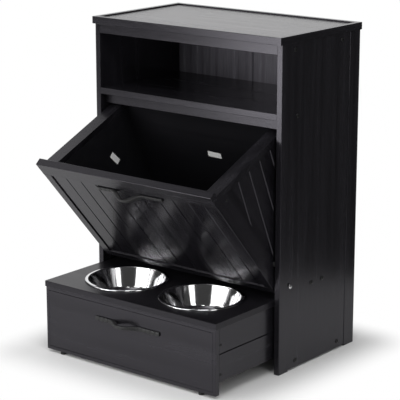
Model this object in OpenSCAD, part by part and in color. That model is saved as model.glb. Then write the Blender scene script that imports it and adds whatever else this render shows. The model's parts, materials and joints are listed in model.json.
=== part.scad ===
// Pet feeding station: a cabinet with an open shelf, a tilting food bin
// and a drawer that carries two lift-out steel bowls.
// Shown with the bin tilted open and the drawer pulled out.
// Origin: on the floor, midway across the width and the depth of the open station.

/* [Cabinet] */
// Width over the side panels
cabinet_w = 615; // [580:1:680]
// Depth of the side panels with their back stiles
cabinet_d = 341; // [336:1:400]
// Height from the floor to the lip of the top
cabinet_h = 870; // [860:1:920]
// Thickness of a side panel
side_t = 16; // [14:0.5:20]
// Width of a back stile
back_stile_w = 45; // [35:1:60]
// Open joint between a side panel and its back stile
stile_joint = 2; // [1:0.5:3]
// Width of the front foot of a side panel
foot_w = 40; // [30:1:55]
// Height by which a side panel clears the floor between its feet
foot_h = 5; // [3:0.5:8]
// Thickness of the back panels
back_t = 9; // [6:0.5:12]
// Distance of the back panels from the rear edge of the stiles
back_inset = 1; // [0:0.5:4]
// Width of one plank of the back panels
back_plank_w = 260; // [120:5:300]

/* [Top] */
// Overhang of the top at each side
top_over_side = 1.5; // [0.5:0.5:12]
// Overhang of the top at the front
top_over_front = 9.5; // [6:0.5:20]
// Overhang of the top at the back
top_over_back = 5; // [3:0.5:15]
// Height of the edging round the top
top_t = 19; // [17:0.5:24]
// Width of the edging round the top
lip_w = 14; // [9:0.5:18]
// Step from the edging down to the top board
lip_step = 3.5; // [2:0.5:5]
// Height of the apron under the front of the top
apron_h = 25.5; // [20:0.5:34]
// Thickness of the apron
apron_t = 16; // [12:0.5:18]
// Thickness of the cleats under the top
cleat_t = 18; // [14:0.5:22]
// Height of the cleats under the top
cleat_h = 34; // [28:0.5:40]
// Distance of the cleats behind the side panels' front edges
cleat_y = 40; // [20:1:50]

/* [Shelf] */
// Thickness of the shelf
shelf_t = 16.8; // [15:0.2:20]
// Height of the stop rail under the shelf
stop_rail_h = 27; // [24:0.1:30]
// Thickness of the stop rail
stop_rail_t = 20; // [14:0.5:21]

/* [Bin] */
// Thickness of the bin's front frame
bin_front_t = 20; // [18:0.5:20]
// Distance of the closed bin's front behind the side panels' front edges
bin_inset = 2.2; // [1.5:0.1:4]
// Distance of the closed bin's back from the back panels
bin_back_gap = 5.5; // [4:0.1:12]
// Height by which the closed bin's front laps the stop rail
front_lap = 3; // [2:0.5:6]
// Height by which the open bin's back laps the stop rail
back_lap = 16.5; // [12:0.1:22]
// Gap between the open bin's back and the stop rail
catch_gap = 0.7; // [0.5:0.1:1.5]
// Height of the closed bin's front frame above the floor
bin_low_z = 234.8; // [234:0.2:237]
// Running gap between the bin's front frame and each side panel
bin_gap = 3.7; // [3.6:0.1:8]
// Width of the front frame's stiles
bin_stile_w = 25; // [22:0.5:40]
// Height of the front frame's top rail
bin_top_rail_h = 43; // [36:1:50]
// Height of the front frame's bottom rail
bin_bottom_rail_h = 22; // [16:1:30]
// Distance of the grooved front board behind the face of its frame
bead_inset = 3; // [2:0.5:4]
// Thickness of the grooved front board
bead_t = 9; // [7:0.5:12]
// Distance between the grooves
groove_pitch = 50.6; // [40:0.2:60]
// Distance of the first groove from the frame
groove_first = 50.5; // [20:0.5:60]
// Width of a groove
groove_w = 4; // [2:0.5:5]
// Depth of a groove
groove_depth = 2; // [1:0.25:3]
// Distance of the bin's sides inside the edges of its front frame
bin_side_inset = 3.5; // [1:0.5:4]
// Lean of the bin's back from upright when it is closed
bin_lean = 17.8; // [17:0.2:20]
// Height of the front frame above the front end of the side rims
rim_drop = 17.8; // [16:0.2:22]
// Width of a side rim
rim_w = 38.5; // [32:0.5:44]
// Thickness of a side rim
rim_t = 16; // [12:0.5:18]
// Thickness of the side boards' posts
post_t = 12; // [10:0.5:14]
// Width of the side boards' posts
post_w = 36; // [30:1:42]
// Distance of a grooved side board behind the face of its post
side_board_inset = 2; // [1:0.5:3]
// Thickness of the bin's inner linings
lining_t = 4; // [3:0.5:6]
// Depth of the corner battens behind the front frame
batten_d = 22; // [16:1:30]
// Thickness of the bin's back
bin_back_t = 9; // [8:0.5:9]
// Height by which the bin's back stands above its side rims
bin_back_rise = 15; // [14:0.5:15]
// Thickness of the bin's floor
bin_floor_t = 12; // [9:0.5:12]
// Height of the bin floor's upper face above the bottom of the front frame
bin_floor_up = 3; // [2:0.5:6]
// Distance by which the sides and the back reach below the front frame
bin_skirt = 12; // [10.5:0.5:12.5]
// Distance between the grooves in the sides
side_groove_pitch = 46.5; // [36:0.5:60]
// Distance of the first groove in a side from the front of its rim
side_groove_first = 42; // [37:1:60]
// Distance of the side screws below the rims
bin_screw_drop = 24; // [16:1:60]

/* [Bin pivot] */
// Distance of the pivot behind the side panels' front edges
pivot_y = 35; // [34:0.5:36]
// Height of the pivot above the floor
pivot_z = 235.7; // [235:0.1:236.5]
// Radius of the pivot pins
pivot_r = 5; // [4:0.25:6]
// Depth of a pivot pin's end below the face of the side panel
pivot_recess = 1.5; // [0.5:0.5:4]
// Radius of the collars on the pivot pins
collar_r = 9; // [8:0.5:10]
// Thickness of the steel plates that carry the pivot pins
plate_t = 3; // [2:0.25:3.25]
// Width of a plate round its pin and its bolt
plate_rim = 10; // [9:0.5:11]
// Distance of the plate bolts behind the pivot pins
plate_bolt_back = 9.6; // [9:0.2:12]
// Distance of the plate bolts below the pivot pins
plate_bolt_down = 7.1; // [6.5:0.1:9]
// Radius of the plate bolts
plate_bolt_r = 3; // [2.5:0.25:3.5]
// Radius of the plate bolts' heads
plate_head_r = 6.5; // [5:0.25:8]
// Height of the plate bolts' heads
plate_head_h = 3.5; // [2:0.25:5]
// Running clearance round a pivot pin
pivot_clearance = 0.05; // [0.02:0.01:0.1]
// Clearance between surfaces that slide past or rest on each other
rest_clearance = 0.3; // [0.3:0.05:0.6]
// Distance of the side buffers behind the bin's front
buffer_in = 49; // [40:1:60]
// Height of the side buffers above the bottom of the front frame
buffer_up = 62; // [50:1:90]
// Radius of a side buffer
buffer_r = 6; // [4:0.5:8]
// Thickness of a side buffer
buffer_t = 5; // [3:0.5:6]

/* [Rest board] */
// Distance of the rest board behind the side panels' front edges
rest_board_y = 122; // [110:1:140]
// Depth of the rest board
rest_board_d = 80; // [70:1:80]
// Height of the rest board's underside above the floor
rest_board_z = 212; // [211.5:0.5:212]
// Thickness of the rest board
rest_board_t = 10; // [8:0.5:10]

/* [Drawer] */
// Distance that the drawer is pulled out
drawer_out = 237; // [200:1:240]
// Distance of the closed drawer top behind the side panels' front edges
drawer_inset = 3.2; // [2:0.2:6]
// Distance of the closed drawer from the back panels
drawer_back_gap = 2; // [1:0.5:6]
// Running gap between the drawer top and each side panel
drawer_gap = 4.4; // [3:0.2:12]
// Height of the drawer top's upper face above the floor
drawer_z = 196; // [190:0.5:196]
// Thickness of the drawer top
drawer_top_t = 15.4; // [12:0.2:18]
// Distance of the drawer front behind the edge of the drawer top
drawer_front_inset = 1.8; // [1:0.1:6]
// Distance of the drawer front inside the ends of the drawer top
drawer_front_step = 1.5; // [1:0.5:5]
// Thickness of the drawer front
drawer_front_t = 15; // [14:0.5:20]
// Clearance of the drawer front above the floor
drawer_front_low = 8; // [6:0.5:10]
// Distance of the line cut round the drawer front from its edges
front_line_in = 9.5; // [7:0.5:14]
// Distance of the drawer sides inside the ends of the drawer top
drawer_side_step = 1.5; // [1:0.5:4]
// Thickness of the drawer's sides and back
drawer_side_t = 12; // [10:0.5:15]
// Height of the drawer sides' lower edges above the floor
drawer_side_low = 40; // [36:0.5:50]
// Height above the floor of the groove along a drawer side
side_groove_z = 113.5; // [90:0.5:130]
// Width of the runners in the cabinet
runner_w = 22; // [20:1:26]
// Distance of the runners behind the side panels' front edges
runner_y = 44; // [30:1:60]
// Distance of the runners from the side panels' rear edges
runner_rear_gap = 3; // [0:0.5:20]
// Radius of the glides under the drawer front
glide_r = 7.5; // [6:0.5:7.5]
// Distance of the glides from the middle
glide_x = 235; // [200:1:250]

/* [Bowls] */
// Distance of each bowl's centre from the middle
bowl_x = 126.3; // [118:0.1:135]
// Distance of the bowls' centres behind the edge of the drawer top
bowl_in = 145.4; // [130:0.2:165]
// Outer radius of a bowl's rim
bowl_r = 112; // [105:0.5:115]
// Width of the rim outside the mouth
bowl_rim_w = 10; // [9:0.5:14]
// Height of the rim above the drawer top
bowl_rim_h = 3.2; // [3:0.1:5]
// Depth of a bowl below the drawer top
bowl_depth = 58; // [40:1:90]
// Radius of a bowl's flat bottom
bowl_foot_r = 68; // [50:1:74]
// Radius of the round corner between a bowl's bottom and its straight wall
bowl_corner_r = 18; // [10:1:24]
// Thickness of the bowls' steel
bowl_t = 1.2; // [0.8:0.1:2]
// Clearance between a bowl's wall and its hole
bowl_clearance = 1.8; // [1:0.1:3]
// Distance that a bowl can be lifted under the open bin
bowl_lift = 10; // [5:0.5:10]

/* [Handles] */
// Length of a handle
handle_len = 215; // [180:1:250]
// Height of a handle's strap
handle_h = 11; // [8:0.5:16]
// Thickness of a handle's strap
handle_t = 4.5; // [3.5:0.1:7]
// Distance that a handle's bow stands out
handle_out = 28; // [24:0.5:36]
// Length of a handle's bow
handle_bow = 100; // [80:1:130]
// Distance of the bin handle below the top edge of the front frame
bin_handle_drop = 56.2; // [38:0.2:73]
// Height of the drawer handle above the floor
drawer_handle_z = 131; // [90:1:150]
// Radius of a handle screw
handle_screw_r = 2; // [1.5:0.1:2.5]
// Distance of a handle screw from the end of its handle
handle_screw_in = 16; // [12:1:26]

/* [Bolts] */
// Distance of the front cleat bolts behind the side panels' front edges
cleat_bolt_front = 54; // [50:1:80]
// Distance of the rear cleat bolts from the side panels' rear edges
cleat_bolt_rear = 35; // [15:1:60]
// Distance of the shelf bolts behind the side panels' front edges
shelf_bolt_y = 67; // [40:1:150]
// Distance of the rest board's bolts from its edges
rest_bolt_in = 16; // [10:1:30]
// Height of the shelf bolts above the shelf's lower face
shelf_bolt_up = 4.6; // [4.2:0.2:9]
// Distance of the runners' bolts from their ends
runner_bolt_in = 28; // [15:1:60]
// Distance of the drawer's side screws behind its front
drawer_screw_in = 5; // [5:0.5:12]
// Height of the drawer's lower side screws above the sides' lower edges
drawer_screw_up = 20; // [10:0.5:40]
// Distance of the drawer's upper side screws below the drawer top
drawer_screw_drop = 43.8; // [10:0.2:50]
// Radius of a cabinet bolt
bolt_r = 3; // [2.5:0.25:3.5]
// Radius of a cabinet bolt's head
bolt_head_r = 6; // [5:0.25:7]
// Height of a cabinet bolt's head
bolt_head_h = 2.5; // [1.5:0.25:4]
// Length of a cabinet bolt beyond the side panel
bolt_reach = 14; // [8:1:16]
// Radius of a small screw
screw_r = 2; // [1.5:0.25:2.5]
// Radius of a small screw's head
screw_head_r = 3.8; // [3:0.2:5]
// Height of a small screw's head
screw_head_h = 1.2; // [0.8:0.1:2]
// Clearance round a fixed bolt, pin or screw
bolt_clearance = 0.04; // [0.02:0.01:0.1]
// Width of the chamfer along the edges of the boards
arris = 0.8; // [0.4:0.1:1.5]

/* [Hidden] */
inner_x = cabinet_w / 2 - side_t;
under_top_z = cabinet_h - top_t;
panel_d = cabinet_d - back_stile_w - stile_joint;
back_y = cabinet_d - back_inset - back_t;
top_board_t = top_t - lip_step;
stop_rail_y = bin_inset + bin_front_t + rest_clearance;

// Bin, in its own frame: X across, Y in from its front, Z up from the bottom of its front
bin_half_w = inner_x - bin_gap;
bin_side_x = bin_half_w - bin_side_inset;
lining_x = bin_side_x - rim_w;
frame_in_x = bin_half_w - bin_stile_w;
pivot_in = pivot_y - bin_inset;
pivot_up = pivot_z - bin_low_z;
lean_sin = sin(bin_lean);
lean_cos = cos(bin_lean);

// The rims are as long as the depth of the cabinet allows
rim_len = (back_y - bin_back_gap - bin_inset - bin_front_t
    - bin_back_rise * lean_sin - bin_back_t * lean_cos) / lean_cos;

// The open bin's back catches on the rear of the stop rail, and the closed bin's front meets
// its front. Both have the right lap on the rail only at one height of the bin's front.
catch_in = bin_front_t + rim_len * lean_cos + bin_back_rise * lean_sin - pivot_in;
catch_drop = rim_drop + rim_len * lean_sin - bin_back_rise * lean_cos + pivot_up;
lap_rise = back_lap - front_lap - pivot_up;
bin_front_h = (pow(catch_in, 2) + pow(catch_drop, 2) - pow(lap_rise, 2)) / (2 * (lap_rise + catch_drop));
catch_r = bin_front_h + lap_rise;
catch_y = stop_rail_y + stop_rail_t + catch_gap - pivot_y;
open_angle = acos(catch_y / catch_r) - atan2(bin_front_h - catch_drop, catch_in);

stop_rail_low_z = bin_low_z + bin_front_h - front_lap;
shelf_low_z = stop_rail_low_z + stop_rail_h;
shelf_z = shelf_low_z + shelf_t;

rim_front_z = bin_front_h - rim_drop;
bin_handle_up = bin_front_h - bin_handle_drop;
rim_end = [bin_front_t + rim_len * lean_cos, rim_front_z - rim_len * lean_sin];
groove_count = floor((2 * frame_in_x - groove_first) / groove_pitch) + 1;
side_groove_count = floor((rim_len - side_groove_first) / side_groove_pitch) + 1;
screw_post_in = bin_front_t + post_w / 2;
screw_post_up = rim_front_z - rim_t - bin_screw_drop;

drawer_y = drawer_inset - drawer_out;
drawer_d = back_y - drawer_back_gap - drawer_inset;
drawer_half_w = inner_x - drawer_gap;
drawer_front_y = drawer_y + drawer_front_inset;
drawer_front_back_y = drawer_front_y + drawer_front_t;

// The foremost point of the station is the top edge of the open bin or the drawer's handle
bin_reach = pivot_in * cos(open_angle) + (bin_front_h - pivot_up) * sin(open_angle) - pivot_y;
front_plane_y = (max(bin_reach, handle_out - drawer_front_y) - cabinet_d - top_over_back) / 2;

drawer_side_x = drawer_half_w - drawer_side_step;
drawer_under_z = drawer_z - drawer_top_t;
drawer_back_y = drawer_y + drawer_d;
drawer_screw_y = drawer_front_back_y + drawer_screw_in;
runner_top_z = drawer_side_low - rest_clearance;
runner_end_y = panel_d - runner_rear_gap;
plate_x = inner_x - plate_t;
plate_bolt_y = pivot_y + plate_bolt_back;
plate_bolt_z = pivot_z - plate_bolt_down;
bowl_y = drawer_y + bowl_in;
bowl_mouth_r = bowl_r - bowl_rim_w;
bowl_seat_z = drawer_z + rest_clearance;
bowl_hole_r = bowl_mouth_r + bowl_t + bowl_clearance;
bowl_corner_steps = 10;
bowl_corner_z = bowl_t - bowl_depth + bowl_corner_r;
bowl_reach = [bowl_mouth_r - bowl_foot_r, bowl_rim_h - bowl_t - bowl_corner_z];
bowl_wall_angle = atan2(bowl_reach[1], bowl_reach[0]) - acos(bowl_corner_r / norm(bowl_reach));
handle_steps = 28;

top_bolt_z = under_top_z - cleat_h / 2;
shelf_bolt_z = shelf_low_z + shelf_bolt_up;
rest_bolt_z = rest_board_z + rest_board_t / 2;
runner_bolt_z = (foot_h + runner_top_z) / 2;
cabinet_bolts = [
    [cleat_bolt_front, top_bolt_z], [panel_d - cleat_bolt_rear, top_bolt_z],
    [shelf_bolt_y, shelf_bolt_z],
    [rest_board_y + rest_bolt_in, rest_bolt_z],
    [rest_board_y + rest_board_d - rest_bolt_in, rest_bolt_z],
    [runner_y + runner_bolt_in, runner_bolt_z], [runner_end_y - runner_bolt_in, runner_bolt_z]
];
drawer_screws = [
    [drawer_screw_y, drawer_side_low + drawer_screw_up],
    [drawer_screw_y, drawer_under_z - drawer_screw_drop]
];

board_color = [0.16, 0.16, 0.18];
inner_color = [0.08, 0.08, 0.09];
steel_color = [0.75, 0.76, 0.78];
metal_color = [0.1, 0.1, 0.11];

// ---- Shapes that repeat ----

// Moves from the front plane of the cabinet to the origin of the station
module in_station() { translate([0, front_plane_y, 0]) children(); }

// A section of w by h with a chamfered arris at each corner
module board_section(w, h) {
    polygon([[arris, 0], [w - arris, 0], [w, arris], [w, h - arris],
        [w - arris, h], [arris, h], [0, h - arris], [0, arris]]);
}

// Boards from one corner to the other, long across, along the depth or upright
module board_across(a, b) {
    translate([a.x, a.y, a.z]) rotate([90, 0, 90])
        linear_extrude(b.x - a.x) board_section(b.y - a.y, b.z - a.z);
}
module board_deep(a, b) {
    translate([a.x, b.y, a.z]) rotate([90, 0, 0])
        linear_extrude(b.y - a.y) board_section(b.x - a.x, b.z - a.z);
}
module board_upright(a, b) {
    translate(a) linear_extrude(b.z - a.z) board_section(b.x - a.x, b.y - a.y);
}

// A V groove along Z, open towards -Y
module v_groove(len) {
    linear_extrude(len) polygon([[-groove_w / 2, -1], [groove_w / 2, -1],
        [groove_w / 2, 0], [0, groove_depth], [-groove_w / 2, 0]]);
}

// Draws a right-hand piece as it is for side 1, and mirrored for side -1
module on_side(side) { if (side < 0) mirror([1, 0, 0]) children(); else children(); }

// A plate of the bin, drawn as an outline of [in, up] points from x0 to x1
module bin_plate(x0, x1, outline) {
    translate([x0, 0, 0]) rotate([90, 0, 90]) linear_extrude(x1 - x0) polygon(outline);
}

// Moves from the closed bin's own frame to its open place in the station
module in_open_bin() {
    in_station() translate([0, pivot_y, pivot_z]) rotate([open_angle, 0, 0])
        translate([0, -pivot_in, -pivot_up]) children();
}

// The line of the rims, lowered by drop, at a distance in from the front
function rim_line_up(in, drop) = rim_front_z - (in - bin_front_t) * lean_sin / lean_cos - drop / lean_cos;
// A point at distance along the back's line below the rim, and out behind it
function back_point(down, out) = [rim_end.x - down * lean_sin + out * lean_cos,
    rim_end.y - down * lean_cos - out * lean_sin];
// The distance down the back's line at which it reaches a height
function back_down_to(up, out) = (rim_end.y - out * lean_sin - up) / lean_cos;

// ---- Top ----

module top_board() {
    color(board_color) in_station()
        translate([-cabinet_w / 2 - top_over_side + lip_w, lip_w - top_over_front, under_top_z])
            cube([cabinet_w + 2 * top_over_side - 2 * lip_w,
                cabinet_d + top_over_front + top_over_back - 2 * lip_w, top_board_t]);
}

module top_edging_side(side) {
    x = cabinet_w / 2 + top_over_side;
    color(board_color) in_station() on_side(side)
        board_deep([x - lip_w, -top_over_front, under_top_z], [x, cabinet_d + top_over_back, cabinet_h]);
}

module top_edging_across(y) {
    x = cabinet_w / 2 + top_over_side - lip_w;
    color(board_color) in_station() board_across([-x, y, under_top_z], [x, y + lip_w, cabinet_h]);
}

module front_apron() {
    color(board_color) in_station()
        board_across([-inner_x, 0, under_top_z - apron_h], [inner_x, apron_t, under_top_z]);
}

module top_cleat(side) {
    color(inner_color) in_station() on_side(side) difference() {
        board_deep([inner_x - cleat_t, cleat_y, under_top_z - cleat_h],
            [inner_x, panel_d, under_top_z]);
        bolt_holes();
    }
}

// ---- Sides and back ----

module bolt_holes() {
    for (b = cabinet_bolts) translate([inner_x - bolt_reach - 1, b.x, b.y]) rotate([0, 90, 0])
        cylinder(r = bolt_r + bolt_clearance, h = side_t + bolt_reach + 3, $fn = 48);
}

module side_panel(side) {
    color(board_color) in_station() on_side(side) difference() {
        union() {
            board_upright([inner_x, 0, foot_h], [inner_x + side_t, panel_d, under_top_z]);
            board_upright([inner_x, 0, 0], [inner_x + side_t, foot_w, foot_h + 2 * arris]);
        }
        bolt_holes();
        plate_holes();
    }
}

module back_stile(side) {
    color(board_color) in_station() on_side(side)
        board_upright([inner_x, panel_d + stile_joint, 0], [inner_x + side_t, cabinet_d, under_top_z]);
}

module back_panel(low, high) {
    color(board_color) in_station() difference() {
        translate([-inner_x, back_y, low]) cube([2 * inner_x, back_t, high - low]);
        for (x = [back_plank_w - inner_x : back_plank_w : inner_x - 2 * groove_w]) {
            translate([x, back_y, low - 1]) v_groove(high - low + 2);
            translate([x, back_y + back_t, low - 1]) mirror([0, 1, 0]) v_groove(high - low + 2);
        }
    }
}

// ---- Shelf, rest board and runners ----

module shelf() {
    color(board_color) in_station() difference() {
        board_across([-inner_x, 0, shelf_low_z], [inner_x, back_y, shelf_z]);
        for (side = [-1, 1]) on_side(side) bolt_holes();
    }
}

module shelf_stop_rail() {
    color(board_color) in_station() board_across([-inner_x, stop_rail_y, stop_rail_low_z],
        [inner_x, stop_rail_y + stop_rail_t, shelf_low_z]);
}

module bin_rest_board() {
    color(inner_color) in_station() difference() {
        board_across([-inner_x, rest_board_y, rest_board_z],
            [inner_x, rest_board_y + rest_board_d, rest_board_z + rest_board_t]);
        for (side = [-1, 1]) on_side(side) bolt_holes();
    }
}

module drawer_runner(side) {
    color(inner_color) in_station() on_side(side) difference() {
        board_deep([inner_x - runner_w, runner_y, foot_h], [inner_x, runner_end_y, runner_top_z]);
        bolt_holes();
    }
}

// ---- Cabinet hardware ----

module headed_bolt(r, len, head_r, head_h) {
    rotate([0, -90, 0]) cylinder(r = r, h = len, $fn = 48);
    rotate([0, 90, 0]) rotate_extrude($fn = 48)
        polygon([[0, 0], [head_r, 0], [head_r, head_h * 0.5], [head_r - head_h * 0.5, head_h], [0, head_h]]);
}

module cabinet_bolt_set(side) {
    color(metal_color) in_station() on_side(side) for (b = cabinet_bolts)
        translate([inner_x + side_t, b.x, b.y])
            headed_bolt(bolt_r, side_t + bolt_reach, bolt_head_r, bolt_head_h);
}

// Holes for a pivot pin and its plate's bolt, through the plate and the side panel
module plate_holes() {
    translate([plate_x - 1, pivot_y, pivot_z]) rotate([0, 90, 0])
        cylinder(r = pivot_r + bolt_clearance, h = plate_t + side_t + 2, $fn = 64);
    translate([plate_x - 1, plate_bolt_y, plate_bolt_z]) rotate([0, 90, 0])
        cylinder(r = plate_bolt_r + bolt_clearance, h = plate_t + side_t + 2, $fn = 48);
}

module pivot_plate(side) {
    color(steel_color) in_station() on_side(side) difference() {
        board_upright([plate_x, pivot_y - plate_rim, plate_bolt_z - plate_rim],
            [inner_x, plate_bolt_y + plate_rim, pivot_z + plate_rim]);
        plate_holes();
    }
}

module plate_bolt(side) {
    color(steel_color) in_station() on_side(side)
        translate([inner_x + side_t, plate_bolt_y, plate_bolt_z])
            headed_bolt(plate_bolt_r, side_t + plate_t - 0.5, plate_head_r, plate_head_h);
}

// A pin in the plate and the side panel, with a collar between the plate and the bin
module pivot_pin(side) {
    start = bin_side_x - post_t + 1;
    collar = bin_side_x + rest_clearance;
    end = inner_x + side_t - pivot_recess;
    color(metal_color) in_station() on_side(side) translate([0, pivot_y, pivot_z])
        rotate([0, 90, 0]) rotate_extrude($fn = 64)
            polygon([[0, start], [pivot_r, start], [pivot_r, collar], [collar_r, collar],
                [collar_r, plate_x], [pivot_r, plate_x], [pivot_r, end], [0, end]]);
}

// ---- Bin ----

module bin_front_rail(low, high) {
    color(board_color) in_open_bin() difference() {
        board_across([-bin_half_w, 0, low], [bin_half_w, bin_front_t, high]);
        bin_handle_holes();
    }
}

module bin_stile(side) {
    color(board_color) in_open_bin() on_side(side)
        board_upright([frame_in_x, 0, bin_bottom_rail_h],
            [bin_half_w, bin_front_t, bin_front_h - bin_top_rail_h]);
}

module bin_front_board() {
    low = bin_bottom_rail_h;
    high = bin_front_h - bin_top_rail_h;
    color(board_color) in_open_bin() difference() {
        translate([-frame_in_x, bead_inset, low]) cube([2 * frame_in_x, bead_t, high - low]);
        for (i = [0 : groove_count - 1])
            translate([groove_first + i * groove_pitch - frame_in_x, bead_inset, low - 1])
                v_groove(high - low + 2);
        bin_handle_holes();
    }
}

module bin_post(side) {
    color(board_color) in_open_bin() on_side(side) difference() {
        bin_plate(bin_side_x - post_t, bin_side_x, [
            [bin_front_t, -bin_skirt], [bin_front_t + post_w, -bin_skirt],
            [bin_front_t + post_w, rim_line_up(bin_front_t + post_w, rim_t)],
            [bin_front_t, rim_line_up(bin_front_t, rim_t)]]);
        translate([bin_side_x - post_t - 1, pivot_in, pivot_up]) rotate([0, 90, 0])
            cylinder(r = pivot_r + pivot_clearance, h = post_t + 2, $fn = 64);
        bin_side_screw_holes();
    }
}

module bin_side_board(side) {
    in0 = bin_front_t + post_w;
    low_end = back_point(back_down_to(-bin_skirt, 0), 0);
    color(board_color) in_open_bin() on_side(side) difference() {
        bin_plate(bin_side_x - post_t, bin_side_x - side_board_inset, [
            [in0, -bin_skirt], low_end, back_point(rim_t, 0), [in0, rim_line_up(in0, rim_t)]]);
        for (i = [0 : side_groove_count - 1])
            translate([bin_side_x - side_board_inset, 0, 0])
                bin_side_groove(side_groove_first + i * side_groove_pitch);
    }
}

// A groove along the lean of the back, at a distance from the front end of the rim
module bin_side_groove(along) {
    top = [bin_front_t + along * lean_cos, rim_front_z - along * lean_sin];
    translate([0, top.x, top.y]) rotate([-bin_lean, 0, 0])
        translate([0, 0, -rim_front_z - bin_skirt]) rotate([0, 0, 90])
            v_groove(rim_front_z + bin_skirt - rim_t - 4);
}

module bin_rim(side) {
    color(board_color) in_open_bin() on_side(side)
        bin_plate(lining_x, bin_side_x, [[bin_front_t, rim_line_up(bin_front_t, rim_t)],
            back_point(rim_t, 0), rim_end, [bin_front_t, rim_front_z]]);
}

module bin_lining(side) {
    color(inner_color) in_open_bin() on_side(side)
        bin_plate(lining_x, lining_x + lining_t, [
            [bin_front_t, bin_floor_up], back_point(back_down_to(bin_floor_up, 0), 0),
            back_point(rim_t, 0), [bin_front_t, rim_line_up(bin_front_t, rim_t)]]);
}

module bin_batten(side) {
    color(inner_color) in_open_bin() on_side(side) difference() {
        bin_plate(lining_x + lining_t, bin_side_x - post_t, [
            [bin_front_t, bin_floor_up], [bin_front_t + batten_d, bin_floor_up],
            [bin_front_t + batten_d, rim_line_up(bin_front_t + batten_d, rim_t)],
            [bin_front_t, rim_line_up(bin_front_t, rim_t)]]);
        bin_side_screw_holes();
    }
}

module bin_back() {
    down = back_down_to(-bin_skirt, 0);
    color(board_color) in_open_bin() bin_plate(-bin_side_x, bin_side_x, [
        back_point(-bin_back_rise, 0), back_point(-bin_back_rise, bin_back_t),
        back_point(down, bin_back_t), back_point(down, 0)]);
}

module bin_floor() {
    low = bin_floor_up - bin_floor_t;
    x = bin_side_x - post_t;
    color(inner_color) in_open_bin() bin_plate(-x, x, [
        [bin_front_t, low], back_point(back_down_to(low, 0), 0),
        back_point(back_down_to(bin_floor_up, 0), 0), [bin_front_t, bin_floor_up]]);
}

module bin_buffers() {
    color(metal_color) in_open_bin() for (side = [-1, 1]) on_side(side)
        translate([bin_side_x, buffer_in, buffer_up]) rotate([0, 90, 0]) rotate_extrude($fn = 48)
            polygon([[0, 0], [buffer_r, 0], [buffer_r, buffer_t - 1.5], [buffer_r - 1.5, buffer_t],
                [0, buffer_t]]);
}

module bin_side_screw_holes() {
    translate([lining_x + lining_t, screw_post_in, screw_post_up]) rotate([0, 90, 0])
        cylinder(r = screw_r + bolt_clearance, h = rim_w, $fn = 32);
}

module bin_side_screws() {
    color(metal_color) in_open_bin() for (side = [-1, 1]) on_side(side)
        translate([bin_side_x, screw_post_in, screw_post_up])
            headed_bolt(screw_r, post_t + batten_d / 2, screw_head_r, screw_head_h);
}

// ---- Handles ----

// How far the bow stands out at a distance from the middle of the handle
function bow_out(x) = abs(x) >= handle_bow / 2 ? 0
    : (handle_out - handle_t) * (1 + cos(360 * x / handle_bow)) / 2;

// The strap, centred on the origin, with its feet on the plane Y = 0 and its bow towards -Y
module handle_strap() {
    xs = [for (i = [0 : handle_steps]) handle_bow * (i / handle_steps - 0.5)];
    inner = [for (x = xs) [x, -bow_out(x)]];
    outer = [for (i = [handle_steps : -1 : 0]) [xs[i], -bow_out(xs[i]) - handle_t]];
    half = handle_len / 2;
    difference() {
        translate([0, 0, -handle_h / 2]) linear_extrude(handle_h)
            polygon(concat([[-half, -handle_t], [-half, 0]], inner, [[half, 0], [half, -handle_t]], outer));
        handle_screw_places() translate([0, 1, 0]) rotate([90, 0, 0])
            cylinder(r = handle_screw_r + bolt_clearance, h = handle_t, $fn = 32);
    }
}

module handle_screw_places() {
    for (side = [-1, 1]) translate([side * (handle_len / 2 - handle_screw_in), 0, 0]) children();
}

// Screws from the back of a board of thickness t into the handle's feet
module handle_screw_pair(t) {
    handle_screw_places() {
        translate([0, t, 0]) rotate([90, 0, 0])
            cylinder(r = handle_screw_r, h = t + handle_t - 1.5, $fn = 32);
        translate([0, t + screw_head_h, 0]) rotate([90, 0, 0])
            cylinder(r = screw_head_r, h = screw_head_h, $fn = 32);
    }
}

module at_bin_handle() { in_open_bin() translate([0, bead_inset, bin_handle_up]) children(); }
module at_drawer_handle() { in_station() translate([0, drawer_front_y, drawer_handle_z]) children(); }

module bin_handle_holes() {
    translate([0, 0, bin_handle_up]) handle_screw_places() translate([0, bin_front_t + 1, 0])
        rotate([90, 0, 0]) cylinder(r = handle_screw_r + bolt_clearance, h = bin_front_t + 2, $fn = 32);
}

module bin_handle() { color(metal_color) at_bin_handle() handle_strap(); }
module bin_handle_screws() { color(metal_color) at_bin_handle() handle_screw_pair(bead_t); }
module drawer_handle() { color(metal_color) at_drawer_handle() handle_strap(); }
module drawer_handle_screws() { color(metal_color) at_drawer_handle() handle_screw_pair(drawer_front_t); }

// ---- Drawer ----

module drawer_top() {
    color(board_color) in_station() difference() {
        board_across([-drawer_half_w, drawer_y, drawer_under_z], [drawer_half_w, drawer_back_y, drawer_z]);
        for (side = [-1, 1]) translate([side * bowl_x, bowl_y, drawer_under_z - 1])
            cylinder(r = bowl_hole_r, h = drawer_top_t + 2, $fn = 128);
    }
}

module drawer_front() {
    x = drawer_half_w - drawer_front_step;
    line_x = x - front_line_in;
    low = drawer_front_low + front_line_in;
    high = drawer_under_z - front_line_in;
    color(board_color) in_station() difference() {
        board_upright([-x, drawer_front_y, drawer_front_low],
            [x, drawer_front_back_y, drawer_under_z]);
        for (side = [-1, 1]) translate([side * line_x, drawer_front_y, low])
            scale([0.5, 0.5, 1]) v_groove(high - low);
        for (z = [low, high]) translate([-line_x, drawer_front_y, z]) rotate([0, 90, 0])
            scale([0.5, 0.5, 1]) v_groove(2 * line_x);
        translate([0, drawer_front_back_y + 1, drawer_handle_z]) handle_screw_places() rotate([90, 0, 0])
            cylinder(r = handle_screw_r + bolt_clearance, h = drawer_front_t + 2, $fn = 32);
    }
}

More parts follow.
